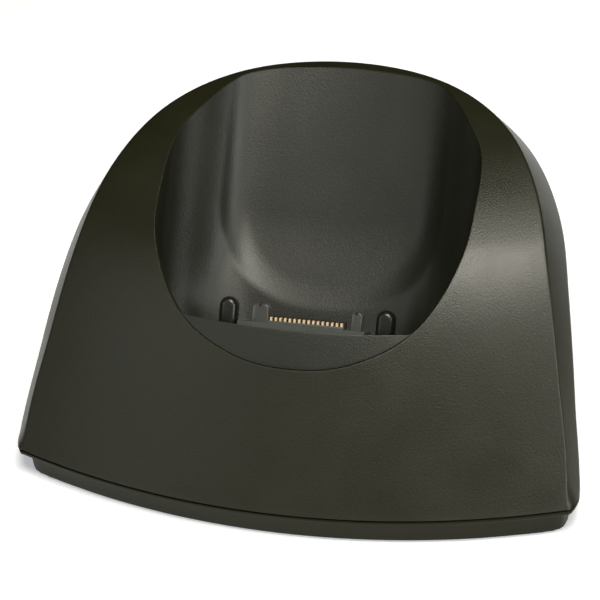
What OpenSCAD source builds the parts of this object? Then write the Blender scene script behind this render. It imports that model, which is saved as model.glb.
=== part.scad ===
// Desktop charging cradle for a handheld device.
// The frame's origin is the middle of the footprint on the table: X to the right, Y to the back, Z up.

/* [Face] */
// Radius of the curved front, about an upright axis behind the cradle
front_r = 218.5; // [210:0.5:230]
// Slope of the lower face above the horizontal, in degrees
face_slope = 46; // [44:0.5:47]
// Height of the seam between the base tray and the top cover
seam_z = 10; // [9.5:0.1:10.5]
// Height of the top of the cover
top_z = 71.6; // [70:0.1:73]
// Radius of the crown that rounds the upper face, seen from the side
crown_r = 130; // [125:1:140]
// Distance from the front edge back to the highest ring of the crown
crown_run = 109.5; // [105:0.5:112]
// Wall of the moulded shells
wall = 2.2; // [1.8:0.1:2.4]

/* [Outline] */
// Distance from the front edge to the back, over everything
depth = 115; // [115:0.5:116]
// Directions, about the contact row, at which the edge of the face is set, in degrees
edge_angles = [-22, -8, 8, 25, 45, 65, 90]; // [-22:1:90]
// Distance of the edge of the face from the contact row in each direction
edge_radii = [78.2, 68.3, 63.2, 63.3, 65.3, 66.5, 66.8]; // [60:0.1:80]
// Directions at which the width of the bevel is set, in degrees
bevel_angles = [-22, 0, 30, 60, 90]; // [-22:1:90]
// Width of the bevel, seen from above, in each direction
bevel_widths = [3.6, 4.9, 6, 5.1, 3]; // [2:0.1:7]
// Drop of the bevel in directions from the front corner to the back
bevel_drops = [[-22, 7], [23, 9], [90, 6]]; // [4:0.1:10]

/* [Pocket] */
// How far the device leans back from upright, in degrees
lean = 41; // [40:0.5:42]
// Distance from the front edge to the contact row
row_from_front = 45.2; // [45:0.1:45.5]
// Height of the contact row above the table
row_z = 35.4; // [35:0.1:36]
// Half the width of the device pocket
pocket_half_w = 42.3; // [41.5:0.1:42.5]
// Distance from the contact row to the front of the pocket
pocket_front = 15.6; // [15.4:0.1:15.8]
// Distance from the middle of the pocket to its back wall
pocket_back = 16.2; // [16:0.1:16.4]
// Depth of the pocket floor below the contact tips' level
floor_drop = 4; // [3.8:0.1:4.2]
// Half the width of the recess in the back wall
recess_half_w = 30.5; // [30:0.1:31]
// Depth of the recess behind the back wall
recess_depth = 6.8; // [6:0.1:7]
// Height of the front lip above the table
lip_z = 44.1; // [43.5:0.1:44.5]
// Gap round the front lip
lip_gap = 0.25; // [0.2:0.05:0.4]

/* [Connector] */
// Number of contacts in the row
contact_count = 16; // [16:1:16]
// Distance from one contact to the next
contact_pitch = 1.27; // [1.27:0.01:1.27]
// How far the contacts travel when a device is seated
contact_travel = 0.8; // [0.4:0.1:0.9]

/* [Base] */
// Inset of the base tray under the edge of the cover
base_inset = 3; // [2.8:0.1:3.2]
// Height that the feet hold the tray off the table
foot_gap = 1.2; // [1:0.1:1.4]
// Radius of a rubber foot
foot_r = 6; // [5:0.5:6]

/* [Hidden] */
$fn = 64;

// Places
front_y = -depth / 2;
axis_y = front_y + front_r;
row_y = front_y + row_from_front;
far = 200;
cut_y = -80;
eps = 0.01;

// Edge of the face and the bevel
steps = 28;
first_angle = edge_angles[0];
cover_sink = 0.8;

// Opening in the cover below the pocket
opening_half_w = 42.4;
opening_front = 37.8;
opening_y = row_y + 18;
opening_power = 2.15;
lip_back_y = row_y - 7.7;
lip_half_w = 30;

// Pocket section, a squared ellipse about a point behind the contact row
section_shift = 1.2;
front_power = 3.6;
back_power = 3.8;
insert_wall = 2;
lip_wall_y = -13.2;
recess_power = 2.2;
recess_low_w = 4;

// Base tray
tray_floor = 2.4;
tray_z = foot_gap + tray_floor;
tray_top = seam_z - 0.6;
tray_wall = 3.2;
tray_corner = [70.2, row_y - 32.1];
tongue_out = 2.3;
tongue_top = seam_z + 0.9;
foot_recess = 1.2;

// Circuit boards
board_z = 6.6;
board_t = 1.6;
board_top = board_z + board_t;

// Fasteners: where each stands, and its sizes
case_screw_xy = [[60, -28], [47.3, 26.5]];
board_screw_xy = [[38, -28], [36, 31]];
foot_xy = [[50, -38], [33, 40]];
ear_xy = [50, 5];
ear_z = 40;
ear_t = 2;
ear_half = 4;
post_x = 21.2;
case_pilot_r = 1.15;
case_shank_r = 1.1;
case_head_r = 2.6;
small_pilot_r = 0.95;
small_shank_r = 0.9;
small_head_r = 2;

// Connector, in the frame of the contact row
housing_x = [-17.8, 16.5];
housing_half_t = 4;
housing_top = -0.9;
housing_low = -13;
flange_w = [-8.2, -6.2];
flange_half = 26;
dock_board_w = housing_low - board_t;
tab_left_x = [-14.8, -10.6];
tab_right_x = [12.1, 15.1];
tab_half_t = 1.6;
tab_low = -4;
tab_top = 3.9;
post_half_w = 2.3;
post_half_t = 2;
post_top = 5;
stud_r = 1.6;
contact_w = 0.6;
contact_t = 1.2;
contact_low = -5;
contact_top = 0.7;
slot_play = 0.1;
tail_top = -9;

// Ports at the back
jack_x = -15;
jack_half_w = 4.5;
jack_h = 11;
jack_z = board_top + 5.5;
jack_y = [42, 55.6];
jack_bore_r = 3.1;
jack_pin_r = 1;
usb_x = 13;
usb_half_w = 3.9;
usb_h = 4;
usb_y = [45.5, 55.6];
port_play = 0.3;

// Flat cable and its sockets
flex_half_w = 8;
flex_t = 0.3;
flex_play = 0.2;
flex_slot_t = 0.5;
flex_y = 4.6;
flex_route = [[-19.06, 20.6], [-21.6, 17.65], [-22.7, 16], [-23.2, 14], [-23.3, 12], [-23.3, 9.6]];
socket_half_w = 10;
dock_socket_y = [2.6, 6.6];
dock_socket_w = [dock_board_w - 2.8, dock_board_w];
main_socket_y = [-25.3, -21.3];
main_socket_top = board_top + 3;

// ---- Formulas ----

// Slope of a smooth curve through values v at knots k, level at the last knot
function knot_slope(k, v, i) =
    i == 0 ? (v[1] - v[0]) / (k[1] - k[0]) :
    i == len(k) - 1 ? 0 :
    (v[i + 1] - v[i - 1]) / (k[i + 1] - k[i - 1]);

// Smooth curve through values v at knots k
function smooth(k, v, a, i = 0) =
    a > k[i + 1] && i < len(k) - 2 ? smooth(k, v, a, i + 1) :
    let (h = k[i + 1] - k[i], t = (a - k[i]) / h)
    let (m0 = knot_slope(k, v, i) * h, m1 = knot_slope(k, v, i + 1) * h)
    v[i] * (1 + 2 * t) * pow(1 - t, 2) + m0 * t * pow(1 - t, 2)
    + v[i + 1] * t * t * (3 - 2 * t) + m1 * t * t * (t - 1);

// Height of the face above the table at a place
function face_height(x, y) =
    let (q = front_r - norm([x, y - axis_y]))
    min(seam_z + q * tan(face_slope),
        top_z - crown_r + sqrt(pow(crown_r, 2) - pow(max(crown_run - q, 0), 2)));

// Point at a distance from the contact row in a direction, seen from above
function around_row(a, r) = [r * cos(a), row_y + r * sin(a)];

// Edge of the face, and the lower edge of the bevel, in a direction
function edge_point(a, inset, sink) =
    let (p = around_row(a, smooth(edge_angles, edge_radii, a) - inset))
    [p.x, p.y, face_height(p.x, p.y) - sink];
function bevel_radius(a) = smooth(edge_angles, edge_radii, a) + smooth(bevel_angles, bevel_widths, a);
function bevel_point(a, inset, sink) =
    let (p = around_row(a, bevel_radius(a) - inset))
    [p.x, p.y, edge_point(a, inset, sink).z - lookup(a, bevel_drops)];

// A row of points with its first stretch carried straight on to the front
function carried_on(row) =
    let (step = row[0] - row[1], n = (cut_y - row[0].y) / step.y)
    concat([row[0] + step * n], row);

// A right-hand row of points joined to its mirror image, as one ring
function both_sides(row) =
    concat(row, [for (i = [len(row) - 2:-1:0]) [-row[i].x, row[i].y, row[i].z]]);

function directions() = [for (i = [0:steps]) first_angle + i * (90 - first_angle) / steps];
function at_height(ring, z) = [for (p = ring) [p.x, p.y, z]];

// Outline of the base tray at an inset from its widest, at a height
function tray_ring(inset, z) =
    let (turn = 20, arc_steps = 24)
    let (side = [for (i = [0:steps]) let (a = -turn + i * (90 + turn) / steps)
        let (p = around_row(a, bevel_radius(a) - base_inset - inset)) [p.x, p.y, z]])
    let (corner_a = atan2(tray_corner.x - inset, axis_y - tray_corner.y))
    let (r = front_r - 2 - inset)
    concat(both_sides(side), [for (i = [0:arc_steps])
        let (a = -corner_a + i * 2 * corner_a / arc_steps) [r * sin(a), axis_y - r * cos(a), z]]);

// Squared ellipse: half width a, half depth b, in direction t
function squared(t, a, b, n) =
    [a * sign(cos(t)) * pow(abs(cos(t)), 2 / n), b * sign(sin(t)) * pow(abs(sin(t)), 2 / n)];

// ---- Building blocks ----

// Solid through rings of points, each ring above the last
module loft(rings) {
    n = len(rings[0]);
    last = (len(rings) - 1) * n;
    polyhedron(
        points = [for (ring = rings) for (p = ring) p],
        faces = concat(
            [[for (i = [0:n - 1]) i]],
            [[for (i = [n - 1:-1:0]) last + i]],
            [for (j = [0:len(rings) - 2]) for (i = [0:n - 1])
                [j * n + i, (j + 1) * n + i, (j + 1) * n + (i + 1) % n]],
            [for (j = [0:len(rings) - 2]) for (i = [0:n - 1])
                [j * n + i, (j + 1) * n + (i + 1) % n, j * n + (i + 1) % n]]));
}

// Everything under the face, sunk square to it
module under_face(sink) {
    low = -60;
    inner = 60;
    lift = (seam_z - low - sink / cos(face_slope)) / tan(face_slope);
    line_top = seam_z + (front_r - inner) * tan(face_slope) - sink / cos(face_slope);
    translate([0, axis_y, 0])
        rotate_extrude($fn = 180)
            intersection() {
                polygon([[inner, low], [front_r + lift, low], [inner, line_top]]);
                union() {
                    translate([front_r - crown_run, top_z - crown_r])
                        circle(crown_r - sink, $fn = 180);
                    translate([inner, low])
                        square([front_r - crown_run - inner, top_z - sink - low]);
                }
            }
}

// Block with the cover's outline and bevelled sides
module bevelled_block(inset, sink) {
    low = -60;
    over = 0.5;
    edge = both_sides(carried_on([for (a = directions()) edge_point(a, inset, sink)]));
    side = both_sides(carried_on([for (a = directions()) bevel_point(a, inset, sink)]));
    above = [for (i = [0:len(edge) - 1]) edge[i] + (edge[i] - side[i]) * over];
    loft([at_height(side, low), side, above, at_height(above, far)]);
}

// Half space above a height
module above_height(z) {
    translate([-far, -far, z])
        cube([2 * far, 2 * far, far]);
}

// The frame of the contact row: Z along the way the device slides out, Y square to its back
module at_row() {
    translate([0, row_y, row_z])
        rotate([-lean, 0, 0])
            children();
}

// Section of the device pocket, grown by a wall
module pocket_section(grow) {
    turn = 5;
    translate([0, section_shift])
        polygon([for (t = [0:turn:360 - turn]) t < 180 ?
            squared(t, pocket_half_w + grow, pocket_back + grow, back_power) :
            squared(t, pocket_half_w + grow, pocket_front + section_shift + grow, front_power)]);
}

// Section of the recess, half of a squared ellipse behind the back wall, grown by a wall
module recess_section(grow) {
    turn = 5;
    front = 4;
    half_w = recess_half_w + grow;
    translate([0, section_shift + pocket_back])
        polygon(concat([[-half_w, -front], [half_w, -front]],
            [for (t = [0:turn:180]) squared(t, half_w, recess_depth + grow, recess_power)]));
}

// Device pocket with the recess in its back wall, grown by a wall
module pocket_space(grow) {
    top_w = 90;
    recess_r = recess_half_w + grow;
    at_row() {
        translate([0, 0, -floor_drop - grow])
            linear_extrude(top_w)
                pocket_section(grow);
        intersection() {
            linear_extrude(top_w)
                recess_section(grow);
            translate([0, 2 * top_w, recess_low_w + recess_half_w])
                rotate([90, 0, 0])
                    linear_extrude(2 * top_w) {
                        circle(recess_r);
                        translate([-recess_r, 0])
                            square([2 * recess_r, top_w]);
                    }
        }
    }
}

// Column over the front of the opening, as far back as a place
module front_column(gap, back_y) {
    turn = 5;
    low = 15;
    translate([0, 0, low])
        linear_extrude(top_z - low)
            intersection() {
                translate([0, opening_y])
                    polygon([for (t = [0:turn:360 - turn])
                        squared(t, opening_half_w - gap, opening_front - gap, opening_power)]);
                translate([-far, back_y - far])
                    square([2 * far, far]);
            }
}

// Box between two corners
module box(low, high) {
    translate(low)
        cube(high - low);
}

// One child on each side of the middle
module on_both_sides() {
    children();
    mirror([1, 0, 0])
        children();
}

// Pan-head screw with a hexagon socket, standing on its head's underside, pointing up
module screw(shank_r, head_r, head_h, length) {
    socket_r = shank_r * 0.8;
    difference() {
        union() {
            cylinder(h = length, r = shank_r);
            translate([0, 0, -head_h])
                cylinder(h = head_h, r = head_r);
        }
        translate([0, 0, -head_h - eps])
            cylinder(h = head_h * 0.6, r = socket_r, $fn = 6);
    }
}

// ---- Shells ----

module port_cuts(play) {
    box([jack_x - jack_half_w - play, 40, board_top - play],
        [jack_x + jack_half_w + play, 70, board_top + jack_h + play]);
    box([usb_x - usb_half_w - play, 40, board_top - play],
        [usb_x + usb_half_w + play, 70, board_top + usb_h + play]);
}

module top_cover() {
    boss_r = 3;
    ear_boss_r = 3.2;
    ear_boss_low = ear_z + ear_t;
    pilot_depth = 9;
    color([0.16, 0.16, 0.14])
        difference() {
            union() {
                difference() {
                    intersection() {
                        bevelled_block(0, 0);
                        under_face(0);
                        above_height(seam_z);
                    }
                    intersection() {
                        bevelled_block(wall, cover_sink);
                        under_face(wall);
                    }
                }
                intersection() {
                    on_both_sides() {
                        for (p = case_screw_xy)
                            translate([p.x, p.y, seam_z + 0.1])
                                cylinder(h = far, r = boss_r);
                        translate([ear_xy.x, ear_xy.y, ear_boss_low])
                            cylinder(h = far, r = ear_boss_r);
                    }
                    under_face(wall / 2);
                }
            }
            intersection() {
                pocket_space(0);
                box([-far, row_y, lip_z - 8], [far, far, far]);
            }
            front_column(0, row_y);
            port_cuts(port_play);
            on_both_sides() {
                for (p = case_screw_xy)
                    translate([p.x, p.y, 0])
                        cylinder(h = seam_z + pilot_depth, r = case_pilot_r);
                translate([ear_xy.x, ear_xy.y, ear_boss_low - eps])
                    cylinder(h = pilot_depth, r = small_pilot_r);
            }
        }
}

// Thin flange round the top of the base tray, along the edge of the cover
module tray_flange() {
    flange_t = 1.2;
    flange_play = 0.3;
    intersection() {
        bevelled_block(flange_play, 0);
        translate([0, axis_y, tray_top - flange_t])
            cylinder(h = flange_t, r = front_r - flange_play, $fn = 180);
    }
}

module base_tray() {
    tower_r = 4.2;
    stud_boss_r = 2.6;
    edge_soft = 0.9;
    head_pocket_h = 3;
    clear_r = 1.5;
    color([0.14, 0.14, 0.13])
        difference() {
            union() {
                difference() {
                    union() {
                        loft([tray_ring(edge_soft, foot_gap), tray_ring(0, foot_gap + edge_soft),
                            tray_ring(0, tray_top)]);
                        tray_flange();
                    }
                    loft([tray_ring(tray_wall, tray_z), tray_ring(tray_wall, far)]);
                }
                difference() {
                    loft([tray_ring(tongue_out, tray_top - eps), tray_ring(tongue_out, tongue_top)]);
                    loft([tray_ring(tray_wall, 0), tray_ring(tray_wall, far)]);
                }
                on_both_sides() {
                    for (p = case_screw_xy)
                        translate([p.x, p.y, foot_gap + eps])
                            cylinder(h = seam_z - foot_gap - 2 * eps, r = tower_r);
                    for (p = board_screw_xy)
                        translate([p.x, p.y, foot_gap + eps])
                            cylinder(h = board_z - foot_gap - eps, r = stud_boss_r);
                }
            }
            port_cuts(port_play);
            on_both_sides() {
                for (p = case_screw_xy) {
                    translate([p.x, p.y, 0])
                        cylinder(h = far, r = clear_r);
                    translate([p.x, p.y, 0])
                        cylinder(h = foot_gap + head_pocket_h, r = case_head_r + 0.3);
                }
                for (p = board_screw_xy)
                    translate([p.x, p.y, tray_z - 1])
                        cylinder(h = far, r = small_pilot_r);
                for (p = foot_xy)
                    translate([p.x, p.y, 0])
                        cylinder(h = foot_gap + foot_recess, r = foot_r + 0.1);
            }
        }
}

module pocket_insert() {
    ear_clear_r = 1.2;
    stud_play = 0.1;
    window_play = 0.3;
    window_end = 17.6;
    color([0.19, 0.19, 0.18])
        difference() {
            union() {
                intersection() {
                    union() {
                        pocket_space(insert_wall);
                        on_both_sides()
                            box([ear_xy.x - 12, ear_xy.y - ear_half, ear_z],
                                [ear_xy.x + ear_half, ear_xy.y + ear_half, ear_z + ear_t]);
                    }
                    union() {
                        under_face(wall + 0.3);
                        intersection() {
                            under_face(1);
                            front_column(lip_gap, lip_back_y);
                        }
                    }
                }
                difference() {
                    intersection() {
                        front_column(lip_gap, lip_back_y);
                        under_face(0);
                    }
                    under_face(wall);
                }
            }
            intersection() {
                pocket_space(0);
                union() {
                    at_row()
                        box([-far, lip_wall_y, -far], [far, far, far]);
                    above_height(lip_z);
                }
            }
            above_lip();
            at_row() {
                box([housing_x[0] - window_play, -housing_half_t - window_play, -20],
                    [window_end, housing_half_t + window_play, 0]);
                for (x = [-post_x, post_x])
                    translate([x, 0, -20])
                        cylinder(h = 20, r = stud_r + stud_play);
            }
            on_both_sides()
                translate([ear_xy.x, ear_xy.y, 0])
                    cylinder(h = ear_z + ear_t + 1, r = ear_clear_r);
        }
}

// Everything over the level top of the front lip
module above_lip() {
    intersection() {
        above_height(lip_z);
        box([-lip_half_w, -far, 0], [lip_half_w, lip_back_y, far]);
    }
}

// ---- Connector ----

function contact_x(i) = (i - (contact_count - 1) / 2) * contact_pitch;

module connector_housing() {
    slot_w = contact_w + 2 * slot_play;
    slot_t = contact_t + 2 * slot_play;
    clear_r = 1.2;
    play = 0.05;
    color([0.1, 0.1, 0.1])
        at_row()
            difference() {
                union() {
                    box([housing_x[0], -housing_half_t, housing_low],
                        [housing_x[1], housing_half_t, housing_top]);
                    box([-flange_half, -housing_half_t, flange_w[0]],
                        [flange_half, housing_half_t, flange_w[1]]);
                }
                for (i = [0:contact_count - 1])
                    translate([contact_x(i), 0, 0])
                        box([-slot_w / 2, -slot_t / 2, housing_low - 1], [slot_w / 2, slot_t / 2, 1]);
                for (x = [tab_left_x, tab_right_x])
                    box([x[0] - play, -tab_half_t - play, tab_low], [x[1] + play, tab_half_t + play, 1]);
                for (x = [-post_x, post_x])
                    translate([x, 0, flange_w[0] - 1])
                        cylinder(h = 4, r = clear_r);
            }
}

module contact(i) {
    tip_r = contact_w / 2;
    color([0.83, 0.66, 0.36])
        at_row()
            translate([contact_x(i), 0, 0]) {
                box([-tip_r, -contact_t / 2, contact_low], [tip_r, contact_t / 2, contact_top - tip_r]);
                translate([0, contact_t / 2, contact_top - tip_r])
                    rotate([90, 0, 0])
                        cylinder(h = contact_t, r = tip_r, $fn = 32);
            }
}

module contact_tails() {
    tail = 0.4;
    below = 0.6;
    color([0.75, 0.6, 0.33])
        at_row()
            for (i = [0:contact_count - 1])
                translate([contact_x(i), 0, 0])
                    box([-tail / 2, -tail / 2, dock_board_w - below], [tail / 2, tail / 2, tail_top]);
}

module guide_tab(x) {
    notch_w = 0.9;
    notch_h = 0.9;
    middle = (x[0] + x[1]) / 2;
    corner = 0.9;
    color([0.45, 0.46, 0.45])
        at_row()
            difference() {
                box([x[0], -tab_half_t, tab_low], [x[1], tab_half_t, tab_top]);
                box([middle - notch_w / 2, -far, tab_top - notch_h], [middle + notch_w / 2, far, far]);
                for (side = [[x[0], -1], [x[1], 1]])
                    translate([side[0], 0, tab_top])
                        rotate([0, 45, 0])
                            box([-corner / 2, -far, -corner / 2], [corner / 2, far, corner / 2]);
            }
}

module locator_post(x) {
    color([0.05, 0.05, 0.05])
        at_row()
            translate([x, 0, 0])
                difference() {
                    union() {
                        box([-post_half_w, -post_half_t, -floor_drop],
                            [post_half_w, post_half_t, post_top - post_half_w]);
                        translate([0, post_half_t, post_top - post_half_w])
                            rotate([90, 0, 0])
                                cylinder(h = 2 * post_half_t, r = post_half_w);
                        translate([0, 0, flange_w[1] + 0.05])
                            cylinder(h = 3, r = stud_r);
                    }
                    translate([0, 0, -20])
                        cylinder(h = 20, r = small_pilot_r);
                }
}

module connector_board() {
    hole = 0.7;
    color([0.1, 0.3, 0.16])
        at_row()
            difference() {
                box([-24, -7, dock_board_w], [24, 7, housing_low]);
                for (i = [0:contact_count - 1])
                    translate([contact_x(i), 0, 0])
                        box([-hole / 2, -hole / 2, -30], [hole / 2, hole / 2, 0]);
            }
}

// ---- Flat cable and its sockets ----

// Point of the route moved square to it
function beside(i, d) =
    let (a = flex_route[max(i - 1, 0)], b = flex_route[min(i + 1, len(flex_route) - 1)])
    let (u = (b - a) / norm(b - a))
    flex_route[i] + [-u.y, u.x] * d;

module flex_cable() {
    last = len(flex_route) - 1;
    color([0.75, 0.45, 0.15])
        translate([-flex_half_w, 0, 0])
            rotate([90, 0, 90])
                linear_extrude(2 * flex_half_w)
                    polygon(concat([for (i = [0:last]) beside(i, flex_t / 2)],
                        [for (i = [last:-1:0]) beside(i, -flex_t / 2)]));
}

module dock_flex_socket() {
    color([0.85, 0.82, 0.72])
        at_row()
            difference() {
                box([-socket_half_w, dock_socket_y[0], dock_socket_w[0]],
                    [socket_half_w, dock_socket_y[1], dock_socket_w[1]]);
                box([-flex_half_w - flex_play, flex_y - flex_slot_t / 2, -30],
                    [flex_half_w + flex_play, flex_y + flex_slot_t / 2, dock_socket_w[1] - 0.6]);
            }
}

module main_flex_socket() {
    end = flex_route[len(flex_route) - 1];
    color([0.85, 0.82, 0.72])
        difference() {
            box([-socket_half_w, main_socket_y[0], board_top],
                [socket_half_w, main_socket_y[1], main_socket_top]);
            box([-flex_half_w - flex_play, end.x - flex_slot_t / 2, end.y - 0.3],
                [flex_half_w + flex_play, end.x + flex_slot_t / 2, far]);
        }
}

// ---- Main board and what it carries ----

module main_board() {
    clear_r = 1.2;
    color([0.1, 0.3, 0.16])
        difference() {
            union() {
                box([-41, -31, board_z], [41, 35, board_top]);
                box([-21, 34, board_z], [18, 48.2, board_top]);
            }
            on_both_sides()
                for (p = board_screw_xy)
                    translate([p.x, p.y, 0])
                        cylinder(h = far, r = clear_r);
        }
}

module ballast_plate() {
    plate_t = 2.4;
    color([0.5, 0.5, 0.52])
        box([-32, -20, tray_z], [32, 28, tray_z + plate_t]);
}

module dc_jack() {
    bore_depth = 10;
    color([0.06, 0.06, 0.06])
        difference() {
            box([jack_x - jack_half_w, jack_y[0], board_top],
                [jack_x + jack_half_w, jack_y[1], board_top + jack_h]);
            translate([jack_x, jack_y[1] + eps, jack_z])
                rotate([90, 0, 0])
                    cylinder(h = bore_depth, r = jack_bore_r);
        }
}

module jack_pin() {
    length = 9;
    base_y = jack_y[1] - 9.95;
    color([0.75, 0.75, 0.72])
        translate([jack_x, base_y, jack_z])
            rotate([-90, 0, 0]) {
                cylinder(h = length - jack_pin_r, r = jack_pin_r);
                translate([0, 0, length - jack_pin_r])
                    sphere(jack_pin_r, $fn = 32);
            }
}

module usb_socket() {
    shell = 0.4;
    color([0.7, 0.7, 0.7])
        difference() {
            box([usb_x - usb_half_w, usb_y[0], board_top],
                [usb_x + usb_half_w, usb_y[1], board_top + usb_h]);
            box([usb_x - usb_half_w + shell, usb_y[0] + shell, board_top + shell],
                [usb_x + usb_half_w - shell, usb_y[1] + 1, board_top + usb_h - shell]);
        }
}

module usb_tongue() {
    tongue_half_w = 2.4;
    color([0.06, 0.06, 0.06])
        box([usb_x - tongue_half_w, usb_y[0] + 0.4, board_top + 1.7],
            [usb_x + tongue_half_w, usb_y[1] - 1.2, board_top + 2.4]);
}

module capacitor(x) {
    radius = 4;
    height = 9;
    groove = 0.3;
    color([0.12, 0.16, 0.3])
        translate([x, -22, board_top])
            difference() {
                cylinder(h = height, r = radius);
                translate([0, 0, 1.4])
                    difference() {
                        cylinder(h = 0.6, r = radius + 1);
                        cylinder(h = 0.6, r = radius - groove);
                    }
            }
}

module inductor() {
    color([0.2, 0.2, 0.2])
        translate([-20, -4, board_top])
            difference() {
                cylinder(h = 5, r = 5);
                translate([0, 0, 1])
                    difference() {
                        cylinder(h = 3, r = 6);
                        cylinder(h = 3, r = 3.6);
                    }
            }
}

module charger_chip() {
    color([0.07, 0.07, 0.07])
        box([0, 4, board_top], [8, 12, board_top + 1]);
}

module usb_chip() {
    color([0.07, 0.07, 0.07])
        box([9, 26, board_top], [16, 33, board_top + 1]);
}

// ---- Fasteners and feet ----

module case_screws() {
    seat_z = foot_gap + 3;
    color([0.55, 0.55, 0.56])
        on_both_sides()
            for (p = case_screw_xy)
                translate([p.x, p.y, seat_z])
                    screw(case_shank_r, case_head_r, 1.6, 13);
}

module insert_screws() {
    color([0.55, 0.55, 0.56])
        on_both_sides()
            translate([ear_xy.x, ear_xy.y, ear_z])
                screw(small_shank_r, small_head_r, 1.3, 8);
}

module connector_screws() {
    color([0.55, 0.55, 0.56])
        at_row()
            for (x = [-post_x, post_x])
                translate([x, 0, flange_w[0]])
                    screw(small_shank_r, small_head_r, 1.3, 7.5);
}

module board_screws() {
    color([0.55, 0.55, 0.56])
        on_both_sides()
            for (p = board_screw_xy)
                translate([p.x, p.y, board_top])
                    rotate([180, 0, 0])
                        screw(small_shank_r, small_head_r, 1.3, 4.5);
}

module foot(x, y) {
    soft = 0.4;
    color([0.08, 0.08, 0.08])
        translate([x, y, 0])
            rotate_extrude()
                polygon([[0, 0], [foot_r - soft, 0], [foot_r, soft], [foot_r, foot_gap + foot_recess],
                    [0, foot_gap + foot_recess]]);
}

top_cover();
base_tray();
pocket_insert();
connector_housing();
for (i = [0:contact_count - 1])
    contact(i);
contact_tails();
guide_tab(tab_left_x);  // guide_tab_left
guide_tab(tab_right_x);  // guide_tab_right
locator_post(-post_x);  // locator_post_left
locator_post(post_x);  // locator_post_right
connector_board();
dock_flex_socket();
flex_cable();
main_flex_socket();
main_board();
ballast_plate();
dc_jack();
jack_pin();
usb_socket();
usb_tongue();
capacitor(-34);  // capacitor_left
capacitor(30);  // capacitor_right
inductor();
charger_chip();
usb_chip();
case_screws();
insert_screws();
connector_screws();
board_screws();
foot(-foot_xy[0].x, foot_xy[0].y);  // foot_front_left
foot(foot_xy[0].x, foot_xy[0].y);  // foot_front_right
foot(-foot_xy[1].x, foot_xy[1].y);  // foot_rear_left
foot(foot_xy[1].x, foot_xy[1].y);  // foot_rear_right
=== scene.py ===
import math

import bmesh
import bpy
import numpy as np
from mathutils import Matrix, Vector


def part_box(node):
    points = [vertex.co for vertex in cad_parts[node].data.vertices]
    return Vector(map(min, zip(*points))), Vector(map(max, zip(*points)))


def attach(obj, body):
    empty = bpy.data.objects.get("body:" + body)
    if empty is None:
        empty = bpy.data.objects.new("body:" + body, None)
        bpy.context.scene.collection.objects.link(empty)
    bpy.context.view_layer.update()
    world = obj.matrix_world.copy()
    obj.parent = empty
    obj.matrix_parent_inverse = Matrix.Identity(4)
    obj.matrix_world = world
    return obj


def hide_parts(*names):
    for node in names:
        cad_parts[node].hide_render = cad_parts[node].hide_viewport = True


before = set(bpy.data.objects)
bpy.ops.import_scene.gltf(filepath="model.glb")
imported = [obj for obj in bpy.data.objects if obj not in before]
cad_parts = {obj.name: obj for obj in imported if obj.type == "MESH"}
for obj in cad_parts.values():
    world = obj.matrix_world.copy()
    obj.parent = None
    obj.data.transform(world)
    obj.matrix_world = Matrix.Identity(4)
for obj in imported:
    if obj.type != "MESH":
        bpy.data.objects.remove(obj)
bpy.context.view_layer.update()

# Looks of a desktop charging cradle for a handheld device, built round its CAD frame.
# Shapes are worked out in millimetres and scaled to metres as each mesh is made.
MM = 0.001


def node_box(node):
    """Lowest and highest corner of a CAD node, in millimetres."""
    low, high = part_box(node)
    return np.array(low) / MM, np.array(high) / MM


# ---- Driving sizes ----

cover_low, cover_high = node_box("top_cover")
SEAM_Z = cover_low[2]
TOP_Z = cover_high[2]
FRONT_Y = cover_low[1]

# Face: a surface of revolution about an upright axis behind its front edge
FRONT_R = 218.5
AXIS_Y = FRONT_Y + FRONT_R
FACE_SLOPE = math.tan(math.radians(46.8))
CROWN_R = 134.0
CROWN_RUN = 109.5
KNEE_BLEND = 6.0

# Contact row, and the way that the device leans
ROW_Y = FRONT_Y + 45.2
ROW_Z = 35.4
LEAN = math.radians(41)
OUT = np.array([0, math.sin(LEAN), math.cos(LEAN)])
BACK = np.array([0, math.cos(LEAN), -math.sin(LEAN)])
ROW = np.array([0, ROW_Y, ROW_Z])

# Edge of the face and the width and drop of its bevel, by direction about the contact row
EDGE_A = [-22, -8, 8, 25, 45, 65, 90]
EDGE_R = [78.2, 68.3, 63.2, 63.3, 65.3, 66.5, 66.8]
BEVEL_A = [-22, 0, 30, 60, 90]
BEVEL_W = [3.6, 4.9, 6, 5.1, 3]
DROP_A = [-22, 23, 90]
DROP = [7, 9, 6]

# Outline of the opening, by direction about a point behind the contact row
MOUTH_Y = ROW_Y + 18
MOUTH_A = [-115, -90, -65, -40, -18, 5, 25, 38, 50, 55, 61, 75, 90]
MOUTH_R = [39.1, 37.8, 39.1, 41.7, 42.3, 42.3, 45.1, 45.9, 48.0, 48.8, 48.5, 46.4, 45.7]
MOUTH_GAP = 0.08
LIP_GAP = 0.1

# Front lip of the pocket
LIP_Z = ROW_Z + 8.7
LIP_WALL = 2.4

# Pocket. Distances out of it and back are measured from the contact row. The foot of its back wall is a
# squared ellipse, steeper at the shoulders and rounder at the low corners.
FLOOR_OUT = -4.0
POCKET_HALF = 42.3
POCKET_BACK = 16.2
POCKET_SHIFT = 1.2
POCKET_POWER = 3.8
SHOULDER_LEAN = 3.4
SHOULDER_BLEND = 2.0
CORNER_X = 30.0
CORNER_W = 5.5
CORNER_LEAN = 2.6
CORNER_SHARE = 0.35

# Recess in the back wall: a U that is shallow at the foot and deepens further out
RECESS_HALF = 31.0
RECESS_MID_OUT = 33.9
RECESS_SQUARE = 2.4
RECESS_BLEND = 7.5
RECESS_EDGE = 0.07
RECESS_DEPTH = 3.2
RECESS_SHALLOW = 0.28
RECESS_DEEPENS = (3, 29)

# Directions between which the pocket's wall changes from its front to its back form
LIP_TURN = (-10, 10)
BACK_TURN = (-12, 18)

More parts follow.
